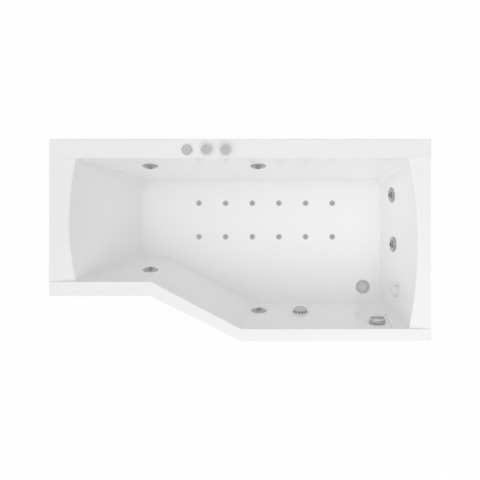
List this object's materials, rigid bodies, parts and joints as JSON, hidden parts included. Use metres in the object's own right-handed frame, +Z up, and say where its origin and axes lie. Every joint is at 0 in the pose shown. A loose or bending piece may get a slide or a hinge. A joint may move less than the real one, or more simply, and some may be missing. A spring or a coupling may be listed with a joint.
{
  "type": "asymmetric bath with jets",
  "caption": "Asymmetric bath with jets: moulded acrylic shell narrowing at the head end, wall and floor jets, deck controls, drain, overflow, steel frame on levelling feet.",
  "frame": {"origin": "on the floor, under the middle of the outline's box", "axes": "+X towards the wide drain end, +Y towards the wall side with the deck controls, +Z up"},
  "size_m": [1.7, 0.9, 0.625],
  "materials": {
    "acrylic": "polished white acrylic on glass-fibre backing",
    "chrome": "polished chrome plate",
    "lens": "frosted clear lens",
    "white_plastic": "moulded white plastic",
    "pipe": "extruded pale grey plastic pipe",
    "rubber": "matt black rubber",
    "galvanised_steel": "zinc plated steel",
    "board": "bare particle board",
    "black_plastic": "moulded black plastic",
    "motor": "satin painted aluminium",
    "rotor_steel": "machined steel",
    "box_grey": "moulded grey plastic"
  },
  "bodies": {
    "bath": {"tub_shell": "acrylic", "base_board": "board", "long_rails": "galvanised_steel", "cross_rails": "galvanised_steel", "rim_posts": "galvanised_steel", "foot_locknuts": "galvanised_steel", "jet_rosettes": "chrome", "jet_bodies": "white_plastic", "jet_seals": "rubber", "jet_rosette_back_foot": "chrome", "jet_rosette_foot_back": "chrome", "water_pipe": "pipe", "jet_air_pipe": "pipe", "floor_jet_caps": "chrome", "floor_jet_bodies": "white_plastic", "floor_air_pipe": "pipe", "button_bezel": "chrome", "air_valves": "white_plastic", "deck_nuts": "white_plastic", "drain_flange": "chrome", "drain_seal": "rubber", "drain_trap": "white_plastic", "waste_nut": "white_plastic", "overflow_body": "white_plastic", "overflow_seal": "rubber", "overflow_pipe": "pipe", "suction_cover": "chrome", "suction_body": "white_plastic", "suction_seal": "rubber", "suction_pipe": "pipe", "lamp_bezel": "lens", "lamp_lens": "lens", "lamp_body": "white_plastic", "equipment_plate": "galvanised_steel", "pump_volute": "black_plastic", "pump_motor": "motor", "pump_cradle": "black_plastic", "blower_housing": "black_plastic", "control_box": "box_grey", "control_box_lid": "box_grey", "cable_gland": "black_plastic"},
    "push_button": {"push_button": "chrome"},
    "air_knob_head": {"air_knob_head": "chrome"},
    "air_knob_foot": {"air_knob_foot": "chrome"},
    "overflow_knob": {"overflow_knob": "chrome"},
    "drain_plug": {"drain_plug": "chrome"},
    "jet_nozzle_back_head": {"jet_nozzle_back_head": "chrome"},
    "jet_nozzle_back_foot": {"jet_nozzle_back_foot": "chrome"},
    "jet_nozzle_narrow": {"jet_nozzle_narrow": "chrome"},
    "jet_nozzle_front": {"jet_nozzle_front": "chrome"},
    "jet_nozzle_foot_back": {"jet_nozzle_foot_back": "chrome"},
    "jet_nozzle_foot_front": {"jet_nozzle_foot_front": "chrome"},
    "pump_rotor": {"pump_rotor": "rotor_steel"},
    "blower_fan": {"blower_fan": "black_plastic"},
    "levelling_foot_head_back": {"levelling_foot_head_back": "black_plastic"},
    "levelling_foot_head_front": {"levelling_foot_head_front": "black_plastic"},
    "levelling_foot_middle_back": {"levelling_foot_middle_back": "black_plastic"},
    "levelling_foot_middle_front": {"levelling_foot_middle_front": "black_plastic"},
    "levelling_foot_foot_back": {"levelling_foot_foot_back": "black_plastic"},
    "levelling_foot_foot_front": {"levelling_foot_foot_front": "black_plastic"}
  },
  "joints": [
    {"name": "button_press", "type": "slide", "parent": "bath", "child": "push_button", "axis": [0, 0, 1], "range_m": [-0.0045, 0], "stiffness_N_per_m": 500, "springref_m": 0.004},
    {"name": "air_knob_head_turn", "type": "hinge", "parent": "bath", "child": "air_knob_head", "pos_m": [-0.1505, 0.401, 0.6], "axis": [0, 0, 1], "range_deg": [0, 270]},
    {"name": "air_knob_foot_turn", "type": "hinge", "parent": "bath", "child": "air_knob_foot", "pos_m": [-0.065, 0.401, 0.6], "axis": [0, 0, 1], "range_deg": [0, 270]},
    {"name": "overflow_turn", "type": "hinge", "parent": "bath", "child": "overflow_knob", "pos_m": [0.627, -0.37632, 0.48667], "axis": [0, 0.975, 0.2222], "range_deg": [0, 120]},
    {"name": "plug_lift", "type": "slide", "parent": "bath", "child": "drain_plug", "axis": [0, 0, 1], "range_m": [0, 0.012]},
    {"name": "jet_back_head_tilt", "type": "hinge", "parent": "bath", "child": "jet_nozzle_back_head", "pos_m": [-0.413, 0.33992, 0.46017], "axis": [1, 0, 0], "range_deg": [-12, 12]},
    {"name": "jet_back_foot_tilt", "type": "hinge", "parent": "bath", "child": "jet_nozzle_back_foot", "pos_m": [0.083, 0.33992, 0.46017], "axis": [1, 0, 0], "range_deg": [-12, 12]},
    {"name": "jet_narrow_tilt", "type": "hinge", "parent": "bath", "child": "jet_nozzle_narrow", "pos_m": [-0.418, -0.13899, 0.40423], "axis": [-1, 0, 0], "range_deg": [-12, 12]},
    {"name": "jet_front_tilt", "type": "hinge", "parent": "bath", "child": "jet_nozzle_front", "pos_m": [0.08993, -0.33463, 0.33522], "axis": [-1, 0, 0], "range_deg": [-12, 12]},
    {"name": "jet_foot_back_tilt", "type": "hinge", "parent": "bath", "child": "jet_nozzle_foot_back", "pos_m": [0.72115, 0.21394, 0.32321], "axis": [0.063, -0.998, 0], "range_deg": [-12, 12]},
    {"name": "jet_foot_front_tilt", "type": "hinge", "parent": "bath", "child": "jet_nozzle_foot_front", "pos_m": [0.72839, -0.02, 0.32324], "axis": [-0.0012, -1, 0], "range_deg": [-12, 12]},
    {"name": "pump_spin", "type": "hinge", "parent": "bath", "child": "pump_rotor", "pos_m": [-0.725, -0.02, 0.23], "axis": [0, 1, 0], "continuous": true},
    {"name": "fan_spin", "type": "hinge", "parent": "bath", "child": "blower_fan", "pos_m": [-0.725, 0.345, 0.15], "axis": [0, 0, 1], "continuous": true},
    {"name": "foot_head_back_level", "type": "slide", "parent": "bath", "child": "levelling_foot_head_back", "axis": [0, 0, 1], "range_m": [-0.01, 0.01]},
    {"name": "foot_head_front_level", "type": "slide", "parent": "bath", "child": "levelling_foot_head_front", "axis": [0, 0, 1], "range_m": [-0.01, 0.01]},
    {"name": "foot_middle_back_level", "type": "slide", "parent": "bath", "child": "levelling_foot_middle_back", "axis": [0, 0, 1], "range_m": [-0.01, 0.01]},
    {"name": "foot_middle_front_level", "type": "slide", "parent": "bath", "child": "levelling_foot_middle_front", "axis": [0, 0, 1], "range_m": [-0.01, 0.01]},
    {"name": "foot_foot_back_level", "type": "slide", "parent": "bath", "child": "levelling_foot_foot_back", "axis": [0, 0, 1], "range_m": [-0.01, 0.01]},
    {"name": "foot_foot_front_level", "type": "slide", "parent": "bath", "child": "levelling_foot_foot_front", "axis": [0, 0, 1], "range_m": [-0.01, 0.01]}
  ],
  "couplings": [
    {"joint": "plug_lift", "follows": "overflow_turn", "m_per_rad": 0.00572}
  ]
}
